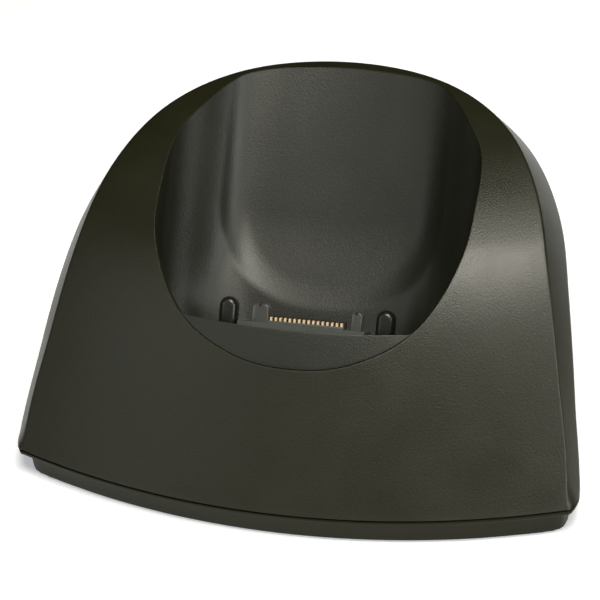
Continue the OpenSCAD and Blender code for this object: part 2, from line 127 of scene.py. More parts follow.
# Pocket's thickness: thin near the opening, where it has to pass under the cover's face
POCKET_SKIN = 1.6
POCKET_RIM_SKIN = 0.1
POCKET_FLOOR_T = 1.8
SKIN_DEPTHS = (2.2, 3.7)
UPRIGHT_TO_DEPTH = 0.75
RIM_SINK = 0.12
RIM_DEPTH = 0.2
LIP_DEPTH = 2.0
CRESCENT_FADE = 4

# Window in the pocket's floor, round the connector
WINDOW_LEFT = -18.1
WINDOW_RIGHT = 17.6
WINDOW_HALF = 4.3

# Radii of the rounded corners in the profiles of the cover, the pocket and the tray
OPENING_ROUND = 0.2
EDGE_ROUND = 0.55
BEVEL_ROUND = 0.8
SILL_ROUND = 0.3
FLOOR_ROUND = 1.6
LIP_ROUND = 0.3
RIM_ROUND = 0.15
FLANGE_ROUND = 0.35
TRAY_NECK_ROUND = 0.4
TRAY_FOOT_ROUND = 0.6

# Cover's wall
WALL = 2.2
FRONT_EXTRA = 1.2
FRONT_FADE = 4
OPENING_DEPTH = 1.6
UNDER_FACE = 3.1
UNDER_EDGE = 3.2
UNDER_BEVEL = 1.5

# Base tray
TRAY_TOP = SEAM_Z - 0.75
TRAY_LOW = 0.7
TRAY_FLOOR = 3.6
TRAY_WALL = 3.2
TRAY_DRAFT = 0.25
TRAY_CHAMFER_W = 0.6
TRAY_CHAMFER_H = 0.7
TRAY_FRONT_R = FRONT_R - 1.5
TRAY_CORNER_START = np.array([71.4, ROW_Y - 32.1])
TRAY_CORNER_END = np.array([73.1, ROW_Y - 26.9])
TRAY_CORNER_SPAN = 7
TRAY_INSET = 3.0
TONGUE_GAP = 2.4
TONGUE_TOP = SEAM_Z + 0.8
FLANGE_T = 1.2
FLANGE_INSET = 0.1
CASE_SCREWS = [(60, -28), (47.3, 26.5)]
CASE_BORE_R = 2.9
CASE_BORE_TOP = TRAY_LOW + 2.0
FEET = ["foot_front_left", "foot_front_right", "foot_rear_left", "foot_rear_right"]
FOOT_PLAY = 0.12

# Windows in the back, round the sockets
SOCKET_PLAY = 0.3
SOCKET_ROUND = 0.8
BEHIND_Y = 70

# Connector's rails, and the tabs and posts beside them
CONTACTS = 16
RAIL_END = 10.4
RAIL_LOW = -1.2
TAB_TOP = 3.9
TAB_HALF_T = 1.7
TAB_CLIP = 0.7
TAB_EDGE = 0.38
NOTCH_HALF = 0.35
NOTCH_DEPTH = 0.7
POST_HALF = 2.45
POST_HALF_T = 2.2
POST_TOP = 5.1
POST_EDGE = 1.5

# How finely the surfaces are divided
SIDE_STEPS = 140
FRONT_STEPS = 34
CORNER_STEPS = 8
FACE_ROWS = 38
POCKET_ROWS = 76
BISECTIONS = 40


# ---- Formulas ----

def smooth(knots, values, at):
    """Smooth curve through values at knots, level at the last one."""
    knots = np.array(knots, float)
    values = np.array(values, float)
    slope = np.empty(len(knots))
    slope[1:-1] = (values[2:] - values[:-2]) / (knots[2:] - knots[:-2])
    slope[0] = (values[1] - values[0]) / (knots[1] - knots[0])
    slope[-1] = 0
    i = np.clip(np.searchsorted(knots, at) - 1, 0, len(knots) - 2)
    span = knots[i + 1] - knots[i]
    t = (at - knots[i]) / span
    return (values[i] * (1 + 2 * t) * (1 - t) ** 2 + slope[i] * span * t * (1 - t) ** 2
            + values[i + 1] * t * t * (3 - 2 * t) + slope[i + 1] * span * t * t * (t - 1))


def ease(t):
    """Smooth step from 0 to 1."""
    t = np.clip(t, 0, 1)
    return t * t * (3 - 2 * t)


def between(value, span):
    """Smooth step from 0 at the start of a span to 1 at its end."""
    return ease((value - span[0]) / (span[1] - span[0]))


def run_back(x, y):
    """Distance back from the curved front edge."""
    return FRONT_R - np.hypot(x, y - AXIS_Y)


def face_height(x, y):
    """Height of the face, with a soft knee between its slope and its crown."""
    run = run_back(x, y)
    slope = SEAM_Z + run * FACE_SLOPE
    crown = TOP_Z - CROWN_R + np.sqrt(CROWN_R ** 2 - np.maximum(CROWN_RUN - run, 0) ** 2)
    overlap = np.maximum(KNEE_BLEND - np.abs(slope - crown), 0)
    return np.minimum(slope, crown) - overlap ** 2 / (4 * KNEE_BLEND)


def on_face(xy):
    """Points on the face above or below points in plan."""
    return np.column_stack([xy, face_height(xy[:, 0], xy[:, 1])])


def face_normal(p):
    """Unit normal of the face above or below points."""
    x, y = p[:, 0], p[:, 1]
    step = 0.05
    slope_x = (face_height(x + step, y) - face_height(x - step, y)) / (2 * step)
    slope_y = (face_height(x, y + step) - face_height(x, y - step)) / (2 * step)
    normal = np.column_stack([-slope_x, -slope_y, np.ones(len(p))])
    return normal / np.linalg.norm(normal, axis=1)[:, None]


def polar(degrees, radius, y0):
    """Points in plan, by direction and distance from (0, y0). Degrees run from the right to the back."""
    turn = np.radians(degrees)
    return np.column_stack([radius * np.cos(turn), y0 + radius * np.sin(turn)])


def to_row(p):
    """Points as x, distance back and distance out, in the frame of the contact row."""
    away = p - ROW
    return np.column_stack([away[:, 0], away @ BACK, away @ OUT])


def from_row(x, back, out):
    """Points from x, distance back and distance out, in the frame of the contact row."""
    across = np.column_stack([x, np.zeros((len(x), 2))])
    return across + ROW + np.outer(back, BACK) + np.outer(out, OUT)


def mirrored(rows):
    """Right-hand columns of points, front to back, closed into a loop with their mirror images."""
    left = rows[:, -2:0:-1] * np.array([-1, 1, 1])
    return np.concatenate([rows, left], axis=1)


def rounded(before, corner, after, radius, count):
    """A corner of each column's profile, turned into a short curve that takes under half of either side."""
    tiny, most = 1e-9, 0.45
    ends = []
    for side in (before - corner, after - corner):
        length = np.linalg.norm(side, axis=1)[:, None]
        ends.append(corner + side * np.minimum(radius / np.maximum(length, tiny), most))
    start, end = ends
    t = np.linspace(0, 1, count)[:, None, None]
    return start * (1 - t) ** 2 + corner * 2 * t * (1 - t) + end * t ** 2


# ---- Mesh helpers ----

MERGE = 0.004
SHORTEST = 0.003


def mesh_piece(name, points, faces):
    """Object from points in millimetres, with doubled points merged and faces turned outwards."""
    mesh = bpy.data.meshes.new(name)
    mesh.from_pydata((np.asarray(points) * MM).tolist(), [], faces)
    piece = bpy.data.objects.new(name, mesh)
    bpy.context.scene.collection.objects.link(piece)
    work = bmesh.new()
    work.from_mesh(mesh)
    bmesh.ops.remove_doubles(work, verts=work.verts, dist=MERGE * MM)
    bmesh.ops.dissolve_degenerate(work, edges=work.edges, dist=SHORTEST * MM)
    bmesh.ops.recalc_face_normals(work, faces=work.faces)
    work.to_mesh(mesh)
    work.free()
    return piece


def ring_faces(rows, columns, closed_rows):
    """Quads between rows of points, where each row is a closed loop of columns."""
    faces = []
    for j in range(rows if closed_rows else rows - 1):
        k = (j + 1) % rows
        for i in range(columns):
            n = (i + 1) % columns
            faces.append((j * columns + i, j * columns + n, k * columns + n, k * columns + i))
    return faces


def ring_piece(name, rows, closed_rows):
    """Object from rows of points, capped with a fan at both ends unless the rows close on themselves."""
    count, columns = rows.shape[:2]
    points = rows.reshape(-1, 3)
    faces = ring_faces(count, columns, closed_rows)
    if not closed_rows:
        ends = [rows[0].mean(axis=0), rows[-1].mean(axis=0)]
        points = np.vstack([points, ends])
        first, last = count * columns, count * columns + 1
        for i in range(columns):
            n = (i + 1) % columns
            faces.append((n, i, first))
            faces.append(((count - 1) * columns + i, (count - 1) * columns + n, last))
    return mesh_piece(name, points, faces)


def smooth_shaded(piece, angle=40):
    """Smooth shading with sharp edges above an angle."""
    mesh = piece.data
    mesh.polygons.foreach_set("use_smooth", [True] * len(mesh.polygons))
    mesh.set_sharp_from_angle(angle=math.radians(angle))
    return piece


def applied(piece):
    """Turns a piece's modifiers into plain mesh."""
    bpy.context.view_layer.update()
    evaluated = piece.evaluated_get(bpy.context.evaluated_depsgraph_get())
    done = bpy.data.meshes.new_from_object(evaluated)
    piece.modifiers.clear()
    piece.data = done
    return piece


def cut(piece, *cutters):
    """Cuts pieces out of a piece, and removes them."""
    for cutter in cutters:
        step = piece.modifiers.new("cut", "BOOLEAN")
        step.operation = "DIFFERENCE"
        step.solver = "EXACT"
        step.object = cutter
        applied(piece)
        bpy.data.objects.remove(cutter)
    return piece


def outline_piece(name, outline, low, high, place, edge=0.0, steps=3):
    """Outline drawn in a plane and given a thickness, with softened edges.
    place turns two coordinates in the plane and one across it into a point."""
    count = len(outline)
    points = [place(u, v, low) for u, v in outline] + [place(u, v, high) for u, v in outline]
    faces = [tuple(range(count)), tuple(range(2 * count - 1, count - 1, -1))]
    for i in range(count):
        n = (i + 1) % count
        faces.append((i, n, count + n, count + i))
    piece = mesh_piece(name, points, faces)
    if edge:
        bevel = piece.modifiers.new("edges", "BEVEL")
        bevel.width = edge * MM
        bevel.segments = steps
        bevel.limit_method = "ANGLE"
        bevel.angle_limit = math.radians(30)
        applied(piece)
    return smooth_shaded(piece)


def arc(x, y, radius, start, end, count):
    """Points along an arc, whose start and end are in degrees."""
    turns = np.radians(np.linspace(start, end, count))
    return [(x + radius * math.cos(turn), y + radius * math.sin(turn)) for turn in turns]


def row_place(u, v, t):
    """u across, v out of the pocket, t back, from the middle of the contact row."""
    return ROW + np.array([u, 0, 0]) + OUT * v + BACK * t


def back_place(u, v, t):
    """u across, v up, t towards the back."""
    return np.array([u, t, v])


# ---- Columns of the outline, from the front round the right-hand side to the back ----

def at_height(xy, z):
    """Points in plan, put at a height."""
    return np.column_stack([xy, np.full(len(xy), z)])


def front_arc(radius, end_x):
    """Columns in plan along the curved front, from the middle up to but not at end_x."""
    turn = np.linspace(0, math.asin(end_x / radius), FRONT_STEPS + 1)[:-1]
    return np.column_stack([radius * np.sin(turn), AXIS_Y - radius * np.cos(turn)])


def side_columns():
    """Edge of the face and end of the bevel, in columns from the front corner to the back."""
    turn = np.linspace(EDGE_A[0], 90, SIDE_STEPS)
    edge_r = smooth(EDGE_A, EDGE_R, turn)
    edge = polar(turn, edge_r, ROW_Y)
    bevel = polar(turn, edge_r + smooth(BEVEL_A, BEVEL_W, turn), ROW_Y)
    drop = np.interp(turn, DROP_A, DROP)

    # Both lines run on, straight, from their first columns to the front edge
    edge_step = (edge[0] - edge[1]) / np.linalg.norm(edge[0] - edge[1])
    bevel_step = (bevel[0] - bevel[1]) / np.linalg.norm(bevel[0] - bevel[1])
    reach = 0.0
    search_step = 0.005
    while run_back(*(edge[0] + edge_step * reach)) > 0:
        reach += search_step
    ahead = np.linspace(reach, 0, CORNER_STEPS + 1)[:-1, None]
    edge = np.vstack([edge[0] + edge_step * ahead, edge])
    bevel = np.vstack([bevel[0] + bevel_step * ahead, bevel])
    drop = np.concatenate([np.full(CORNER_STEPS, DROP[0]), drop])
    edge = on_face(edge)
    edge[0, 2] = SEAM_Z
    bevel = np.column_stack([bevel, edge[:, 2] - drop])
    return edge, bevel


def cover_columns():
    """Edge of the face, end of the bevel and foot of the wall, in columns from front to back."""
    edge, bevel = side_columns()
    # The bevel ends at the seam where it would go below it, and at the cover's width
    share = (edge[:, 2] - SEAM_Z) / (edge[:, 2] - bevel[:, 2])
    clipped = edge + (bevel - edge) * np.sqrt(np.minimum(share, 1))[:, None]
    clipped[:, 2] = np.maximum(clipped[:, 2], SEAM_Z)
    clipped[:, 0] = np.minimum(clipped[:, 0], cover_high[0])
    foot = at_height(clipped[:, :2], SEAM_Z)
    front = at_height(front_arc(FRONT_R, edge[0, 0]), SEAM_Z)
    return [np.vstack([front, part]) for part in (edge, clipped, foot)]


edge, bevel, foot = cover_columns()
middle = np.array([0, MOUTH_Y])
outward = edge[:, :2] - middle
direction = np.degrees(np.arctan2(outward[:, 1], outward[:, 0]))
outward /= np.linalg.norm(outward, axis=1)[:, None]
outward = at_height(outward, 0)


def mouth(inset):
    """The opening's edge, set in towards its middle, as points on the face."""
    return on_face(polar(direction, smooth(MOUTH_A, MOUTH_R, direction) - inset, MOUTH_Y))


# ---- Top cover ----

def face_rows(rim):
    """Rows of the face, from just outside the opening's rim to just inside the face's edge."""
    rim_space, edge_space = 0.45, 0.9
    run = np.linalg.norm((edge - rim)[:, :2], axis=1)[:, None]
    near = np.minimum(rim_space / run, 0.2)
    far = 1 - np.minimum(edge_space / run, 0.3)
    shares = [near + (far - near) * t for t in np.linspace(0, 1, FACE_ROWS)]
    return [on_face((rim + (edge - rim) * share)[:, :2]) for share in shares]


def inside_rows(rim, wall):
    """Rows of the cover's inner side, from the foot of its wall up and under the face to the opening.
    All stay just above the seam, also at the front where the cover is low."""
    beside = foot - outward * (wall + 0.2)[:, None]
    beside[:, 2] = np.maximum(bevel[:, 2] - UNDER_BEVEL, SEAM_Z + 0.2)
    under_edge = on_face((edge - outward * WALL)[:, :2])
    under_edge[:, 2] = np.maximum(under_edge[:, 2] - UNDER_EDGE, SEAM_Z + 0.3)
    rows = [beside, under_edge]
    for t in np.linspace(0.85, 0.12, 8):
        row = on_face((rim + (edge - rim) * t)[:, :2])
        row[:, 2] = np.maximum(row[:, 2] - UNDER_FACE, SEAM_Z + 0.4)
        rows.append(row)
    return rows


def top_cover():
    """Shell with the face, its bevelled sides and the opening. Its front wall is thicker."""
    rim = mouth(0)
    face = face_rows(rim)
    rim_low = rim - face_normal(rim) * OPENING_DEPTH
    wall = WALL + FRONT_EXTRA * (1 - ease((edge[:, 2] - SEAM_Z) / FRONT_FADE))
    sill = foot - outward * wall[:, None]
    profile = [rim_low]
    profile.extend(rounded(rim_low, rim, face[0], OPENING_ROUND, 4))
    profile.extend(face)
    profile.extend(rounded(face[-1], edge, bevel, EDGE_ROUND, 5))
    profile.extend(rounded(edge, bevel, foot, BEVEL_ROUND, 5))
    profile.extend(rounded(bevel, foot, sill, SILL_ROUND, 4))
    profile.append(sill)
    profile.extend(inside_rows(rim, wall))
    return ring_piece("cover_shell", mirrored(np.array(profile)), True)


# ---- Pocket insert ----

def back_wall(x):
    """How far back the foot of the pocket's back wall stands, on a squared ellipse."""
    share = np.minimum(abs(x) / POCKET_HALF, 1)
    return POCKET_SHIFT + POCKET_BACK * (1 - share ** POCKET_POWER) ** (1 / POCKET_POWER)


def beside_recess(x, top_back, rise):
    """How far back the wall beside the recess would stand at its foot: level with the back wall in the
    middle, parallel to the opening's edge at the shoulders, and rounder at the low corners."""
    level = back_wall(x)
    sloped = top_back - SHOULDER_LEAN
    overlap = np.maximum(SHOULDER_BLEND - abs(level - sloped), 0)
    corner = np.exp(-((abs(x) - CORNER_X) / CORNER_W) ** 2) * (1 - ease(rise / CORNER_SHARE))
    return np.minimum(level, sloped) - overlap ** 2 / (4 * SHOULDER_BLEND) - CORNER_LEAN * corner


def recess_share(x, out):
    """0 on the wall beside the recess and 1 in it. The edge is crisp on the outside and soft inside."""
    low = np.minimum(out - RECESS_MID_OUT, 0)
    reach = (abs(x) ** RECESS_SQUARE + abs(low) ** RECESS_SQUARE) ** (1 / RECESS_SQUARE)
    inside = np.clip((RECESS_HALF - reach) / RECESS_BLEND, 0, 1)
    inside = (np.hypot(inside, RECESS_EDGE) - RECESS_EDGE) / (math.hypot(1, RECESS_EDGE) - RECESS_EDGE)
    return 1 - (1 - inside) ** 2


def face_back(x, out):
    """How far back in the row's frame the face lies in front of the pocket."""
    nearest, farthest = -40.0, 8.0
    low = np.full(len(x), nearest)
    high = np.full(len(x), farthest)
    for _ in range(BISECTIONS):
        mid = (low + high) / 2
        p = from_row(x, mid, out)
        buried = face_height(p[:, 0], p[:, 1]) > p[:, 2]
        high = np.where(buried, mid, high)
        low = np.where(buried, low, mid)
    return high


def lip_points(rim):
    """Front columns moved in from the opening's edge to the level line of the lip."""
    low = np.full(len(rim), 0.5)
    high = np.ones(len(rim))
    away = rim[:, :2] - middle
    for _ in range(BISECTIONS):
        mid = (low + high) / 2
        z = face_height(*(middle + away * mid[:, None]).T)
        high = np.where(z < LIP_Z, mid, high)
        low = np.where(z < LIP_Z, low, mid)
    return on_face(middle + away * high[:, None])


def wall_rows(lip):
    """Rows of the pocket's wall, from its floor up to the lip."""
    x, back, top = to_row(lip).T
    lip_side = 1 - between(direction, LIP_TURN)
    back_side = between(direction, BACK_TURN)
    height = top - FLOOR_OUT
    far_front = -99

    def row_at(out):
        """One row, at a distance out of the pocket that may differ from column to column."""
        rise = np.clip((out - FLOOR_OUT) / height, 0, 1)
        depth = RECESS_DEPTH * (RECESS_SHALLOW + (1 - RECESS_SHALLOW) * between(out, RECESS_DEEPENS))
        beside = beside_recess(x, back, rise)
        deep = back_wall(x) + depth
        foot_back = beside + (deep - beside) * recess_share(x, out)
        reach = back + (foot_back - back) * back_side * (1 - rise)
        step_in = LIP_WALL * np.clip(top - out, 0, 1) * lip_side
        clear = np.where(lip_side > 0.01, face_back(x, out) + step_in, far_front)
        return from_row(x, np.maximum(reach, clear), out)

    # The last rows, in the top zone, stand closer together
    top_zone = np.minimum(2, height * 0.6)
    rows = [row_at(FLOOR_OUT + (height - top_zone) * t) for t in np.linspace(0, 1, POCKET_ROWS)]
    rows.extend(row_at(top - top_zone * (1 - t)) for t in (0.2, 0.4, 0.6, 0.75, 0.9))
    return rows


def outside_of(row, thin=POCKET_RIM_SKIN):
    """A row of the pocket's wall, moved out by the wall's thickness at its depth under the face."""
    x, back, out = to_row(row).T
    away = np.column_stack([x, back - POCKET_SHIFT])
    away /= np.linalg.norm(away, axis=1)[:, None]
    depth = (face_height(row[:, 0], row[:, 1]) - row[:, 2]) * UPRIGHT_TO_DEPTH
    grow = thin + (POCKET_SKIN - thin) * between(depth, SKIN_DEPTHS)
    return from_row(x + away[:, 0] * grow, back + away[:, 1] * grow, out)


def pocket_insert():
    """Pocket in one skin: floor, wall, the crescent of the lip at the front, and back down outside."""
    outline = mouth(0)
    crescent = ease(np.linalg.norm(outline - lip_points(outline), axis=1) / CRESCENT_FADE)[:, None]
    rim = mouth(MOUTH_GAP + (LIP_GAP - MOUTH_GAP) * crescent[:, 0])
    lip = lip_points(rim)
    normal = face_normal(rim)
    sink = RIM_SINK * (1 - crescent) * normal
    rim = rim - sink
    lip = lip - sink

    wall = wall_rows(lip)
    floor_middle = np.tile(ROW + OUT * FLOOR_OUT + BACK * POCKET_SHIFT, (len(lip), 1))
    inner_floor = [floor_middle + (wall[0] - floor_middle) * t for t in (0.1, 0.4, 0.7, 0.86)]

    # The lip is a plate between the opening's edge and the foot; elsewhere the skin follows the wall
    foot_ring = outside_of(wall[0], thin=POCKET_SKIN) - OUT * POCKET_FLOOR_T
    under_lip = rim - normal * LIP_DEPTH
    skin = [under_lip * crescent + (outside_of(lip) - normal * RIM_DEPTH) * (1 - crescent)]
    picked = wall[::-1][:-1:3]
    for number, row in enumerate(picked):
        share = (number + 1) / (len(picked) + 1)
        plate = under_lip + (foot_ring - under_lip) * share
        skin.append(outside_of(row) * (1 - crescent) + plate * crescent)
    floor_low = floor_middle - OUT * POCKET_FLOOR_T
    under_floor = [floor_low + (foot_ring - floor_low) * t for t in (0.75, 0.1)]

    apron = [lip + (rim - lip) * t for t in np.linspace(0.1, 0.9, 9)]
    for row in apron:
        row[:, 2] = face_height(*(row + sink)[:, :2].T) - sink[:, 2]

    # The lowest rows of the wall give way to the rounded corner of the floor
    above_corner = 4
    profile = inner_floor
    profile.extend(rounded(inner_floor[-1], wall[0], wall[above_corner], FLOOR_ROUND, 5))
    profile.extend(wall[above_corner:])
    profile.extend(rounded(wall[-1], lip, apron[0], LIP_ROUND, 4))
    profile.extend(apron)
    profile.extend(rounded(apron[-1], rim, skin[0], RIM_ROUND, 4))
    profile.extend(skin)
    profile.append(foot_ring)
    profile.extend(under_floor)
    return ring_piece("pocket_shell", mirrored(np.array(profile)), False)


# ---- Base tray ----

def tray_outline():
    """Columns of the tray's wall in plan, under the columns of the cover."""
    on_corner = (bevel[:, 2] > SEAM_Z + 0.01).argmax() - FRONT_STEPS
    along = np.linspace(0, 1, on_corner + 1)[:-1, None]
    corner = TRAY_CORNER_START + (TRAY_CORNER_END - TRAY_CORNER_START) * along
    start = FRONT_STEPS + on_corner
    side = foot[start:, :2] - outward[start:, :2] * TRAY_INSET
    outline = np.vstack([front_arc(TRAY_FRONT_R, TRAY_CORNER_START[0]), corner, side])

    # Averaging with the neighbours rounds the two turns of the corner
    corner_y = TRAY_CORNER_START[1] + 2
    for _ in range(6):
        mean = (outline[:-2] + outline[2:]) / 2
        outline[1:-1] = np.where(abs(mean[:, 1:] - corner_y) < TRAY_CORNER_SPAN, mean, outline[1:-1])
    return outline


def base_tray():
    """Tray with a flange under the cover's edge and a tongue inside the cover's wall."""
    wall = tray_outline()
    inwards = -outward[:, :2]
    flange = foot[:, :2] + inwards * FLANGE_INSET
    tongue_out = wall + inwards * TONGUE_GAP
    tongue_in = wall + inwards * TRAY_WALL
    floor_edge = wall + inwards * (TRAY_WALL + TRAY_CHAMFER_W)
    seat = at_height(tongue_out, TRAY_TOP)
    top_edge = at_height(flange, TRAY_TOP)
    low_edge = at_height(flange, TRAY_TOP - FLANGE_T)
    under = at_height(wall, TRAY_TOP - FLANGE_T)
    foot_edge = at_height(wall + inwards * TRAY_DRAFT, TRAY_LOW)
    bottom = [at_height(middle + (wall - middle) * t, TRAY_LOW) for t in (0.9, 0.5, 0.1)]
    rows = [at_height(middle + (floor_edge - middle) * t, TRAY_FLOOR) for t in (0.1, 0.5, 0.9, 1.0)]
    rows.append(at_height(tongue_in, TRAY_FLOOR + TRAY_CHAMFER_H))
    rows.append(at_height(tongue_in, TONGUE_TOP))
    rows.append(at_height(tongue_out, TONGUE_TOP))
    rows.append(seat)
    rows.extend(rounded(seat, top_edge, low_edge, FLANGE_ROUND, 5))
    rows.extend(rounded(top_edge, low_edge, under, FLANGE_ROUND, 4))
    rows.extend(rounded(low_edge, under, foot_edge, TRAY_NECK_ROUND, 4))
    rows.extend(rounded(under, foot_edge, bottom[0], TRAY_FOOT_ROUND, 7))
    rows.extend(bottom)
    return ring_piece("tray_shell", mirrored(np.array(rows)), False)


def disc_cutter(x, y, radius, top):
    """Upright disc from below the cradle up to a height."""
    count = 64
    ring = arc(x, y, radius, 0, 360 - 360 / count, count)
    return outline_piece("cutter", ring, -1, top, lambda u, v, t: np.array([u, v, t]))


def window_cutter(node):
    """Rounded window round a socket, right through the back."""
    low, high = node_box(node)
    left, right = low[0] - SOCKET_PLAY + SOCKET_ROUND, high[0] + SOCKET_PLAY - SOCKET_ROUND
    bottom, top = low[2] - SOCKET_PLAY + SOCKET_ROUND, high[2] + SOCKET_PLAY - SOCKET_ROUND
    outline = []
    for x, z, turn in ((right, top, 0), (left, top, 90), (left, bottom, 180), (right, bottom, 270)):
        outline.extend(arc(x, z, SOCKET_ROUND, turn, turn + 90, 7))
    return outline_piece("cutter", outline, low[1] - 2, BEHIND_Y, back_place)


# ---- Connector details ----

def locator_post(name, node):
    """Arch-topped post in the place of its CAD node."""
    low, high = node_box(node)
    x = (low[0] + high[0]) / 2
    foot_out = FLOOR_OUT - 0.2
    outline = [(x - POST_HALF, foot_out), (x + POST_HALF, foot_out)]
    outline.extend(arc(x, POST_TOP - POST_HALF, POST_HALF, 0, 180, 25))
    return outline_piece(name, outline, -POST_HALF_T, POST_HALF_T, row_place, edge=POST_EDGE, steps=8)


def flat_box(name, left, right, low, high, front, back, edge=0.0):
    """Box in the frame of the contact row."""
    outline = [(left, low), (right, low), (right, high), (left, high)]
    return outline_piece(name, outline, front, back, row_place, edge=edge)


def guide_tab(name, left, right, notch_x):
    """Keying tab with well rounded edges and a small notch in its top."""
    side_top = TAB_TOP - TAB_CLIP
    outline = [(left, FLOOR_OUT), (right, FLOOR_OUT), (right, side_top), (right - TAB_CLIP, TAB_TOP),
               (left + TAB_CLIP, TAB_TOP), (left, side_top)]
    tab = outline_piece(name, outline, -TAB_HALF_T, TAB_HALF_T, row_place, edge=TAB_EDGE, steps=5)
    notch = flat_box("cutter", notch_x - NOTCH_HALF, notch_x + NOTCH_HALF, low=TAB_TOP - NOTCH_DEPTH,
                     high=TAB_TOP + 1, front=-TAB_HALF_T - 1, back=TAB_HALF_T + 1)
    return cut(tab, notch)


# ---- Materials ----

# Most noise falls between these two values
NOISE_LOW = 0.3
NOISE_HIGH = 0.7


def new_material(name):
    """Material with its nodes, its links and its shader."""
    material = bpy.data.materials.new(name)
    material.use_nodes = True
    nodes = material.node_tree.nodes
    return material, nodes, material.node_tree.links, nodes["Principled BSDF"]


def noise(nodes, links, coords, scale, detail=3.0, roughness=0.55):
    """Noise in the piece's own coordinates, with a scale in cycles to the metre."""
    node = nodes.new("ShaderNodeTexNoise")
    node.inputs["Scale"].default_value = scale
    node.inputs["Detail"].default_value = detail
    node.inputs["Roughness"].default_value = roughness
    links.new(coords.outputs["Object"], node.inputs["Vector"])
    return node.outputs["Fac"]


def spread(nodes, links, source, low, high, to_low, to_high):
    """Maps one span of a value to another."""
    node = nodes.new("ShaderNodeMapRange")
    for name, value in (("From Min", low), ("From Max", high), ("To Min", to_low), ("To Max", to_high)):
        node.inputs[name].default_value = value
    links.new(source, node.inputs["Value"])
    return node.outputs["Result"]


def two_tone(nodes, links, source, dark, light):
    """Mixes two colours by a value."""
    node = nodes.new("ShaderNodeMix")
    node.data_type = "RGBA"
    node.inputs["A"].default_value = (*dark, 1)
    node.inputs["B"].default_value = (*light, 1)
    links.new(source, node.inputs["Factor"])
    return node.outputs["Result"]


def moulded(name, color, roughness=0.5, grain=0.28, depth=0.05, mottle=0.12, specular=0.5, edge_glint=0.0):
    """Moulded plastic with a fine grain and faint mottling. grain is the size of one grain and depth its
    relief, in millimetres. The last argument is the share of a lighter tone painted on sharp edges as a
    highlight."""
    material, nodes, links, shader = new_material(name)
    coords = nodes.new("ShaderNodeTexCoord")
    fine = noise(nodes, links, coords, 1 / (grain * MM), 2.0, 0.6)
    broad = noise(nodes, links, coords, 60, 4.0, 0.6)
    dark = tuple(c * (1 - mottle) for c in color)
    light = tuple(c * (1 + mottle) for c in color)
    toned = two_tone(nodes, links, spread(nodes, links, broad, NOISE_LOW, NOISE_HIGH, 0, 1), dark, light)
    speck = tuple(c * 1.5 for c in color)
    speckled = two_tone(nodes, links, spread(nodes, links, fine, 0.56, 0.74, 0, 0.5), color, speck)
    links.new(toned, speckled.node.inputs["A"])
    links.new(speckled, shader.inputs["Base Color"])
    # Painted highlight: sharp edges, found by pointiness, are lightened as if they caught the light
    if edge_glint:
        edge_node = nodes.new("ShaderNodeNewGeometry")
        edge_share = spread(nodes, links, edge_node.outputs["Pointiness"], 0.52, 0.6, 0, edge_glint)
        glint_edges = two_tone(nodes, links, edge_share, color, tuple(min(c * 3.2, 1) for c in color))
        links.new(speckled, glint_edges.node.inputs["A"])
        links.new(glint_edges, shader.inputs["Base Color"])
    uneven = spread(nodes, links, broad, NOISE_LOW, NOISE_HIGH, roughness - 0.03, roughness + 0.03)
    links.new(uneven, shader.inputs["Roughness"])
    shader.inputs["Specular IOR Level"].default_value = specular
    bump = nodes.new("ShaderNodeBump")
    bump.inputs["Strength"].default_value = 1.0
    bump.inputs["Distance"].default_value = depth * MM
    links.new(fine, bump.inputs["Height"])
    links.new(bump.outputs["Normal"], shader.inputs["Normal"])
    return material


def metal(name, color, roughness, metallic=1.0):
    """Plated or drawn metal with fine upright brushing."""
    material, nodes, links, shader = new_material(name)
    coords = nodes.new("ShaderNodeTexCoord")
    stretch = nodes.new("ShaderNodeMapping")
    stretch.inputs["Scale"].default_value = (300, 300, 2500)
    links.new(coords.outputs["Object"], stretch.inputs["Vector"])
    grain = nodes.new("ShaderNodeTexNoise")
    grain.inputs["Scale"].default_value = 1.0
    grain.inputs["Detail"].default_value = 3.0
    links.new(stretch.outputs["Vector"], grain.inputs["Vector"])
    tone = two_tone(nodes, links, grain.outputs["Fac"], tuple(c * 0.85 for c in color), color)
    links.new(tone, shader.inputs["Base Color"])
    uneven = spread(nodes, links, grain.outputs["Fac"], NOISE_LOW, NOISE_HIGH,
                    roughness - 0.06, roughness + 0.08)
    links.new(uneven, shader.inputs["Roughness"])
    shader.inputs["Metallic"].default_value = metallic
    return material


def finish_with(piece, material):
    """Gives a piece one material."""
    piece.data.materials.clear()
    piece.data.materials.append(material)


def softened(node, width, material):
    """Gives a CAD node a material and, where a width is given, soft edges."""
    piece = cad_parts[node]
    finish_with(piece, material)
    if not width:
        return
    if piece.data.attributes.get("custom_normal"):
        piece.data.attributes.remove(piece.data.attributes["custom_normal"])
    weld = piece.modifiers.new("weld", "WELD")
    weld.merge_threshold = 0.001 * MM
    bevel_step = piece.modifiers.new("edges", "BEVEL")
    bevel_step.width = width * MM
    bevel_step.segments = 3
    bevel_step.limit_method = "ANGLE"
    bevel_step.angle_limit = math.radians(40)
    bevel_step.harden_normals = True
    piece.data.polygons.foreach_set("use_smooth", [True] * len(piece.data.polygons))


# ---- The pieces ----

for name in ("Cube", "Light", "Camera"):
    if name in bpy.data.objects:
        bpy.data.objects.remove(bpy.data.objects[name])
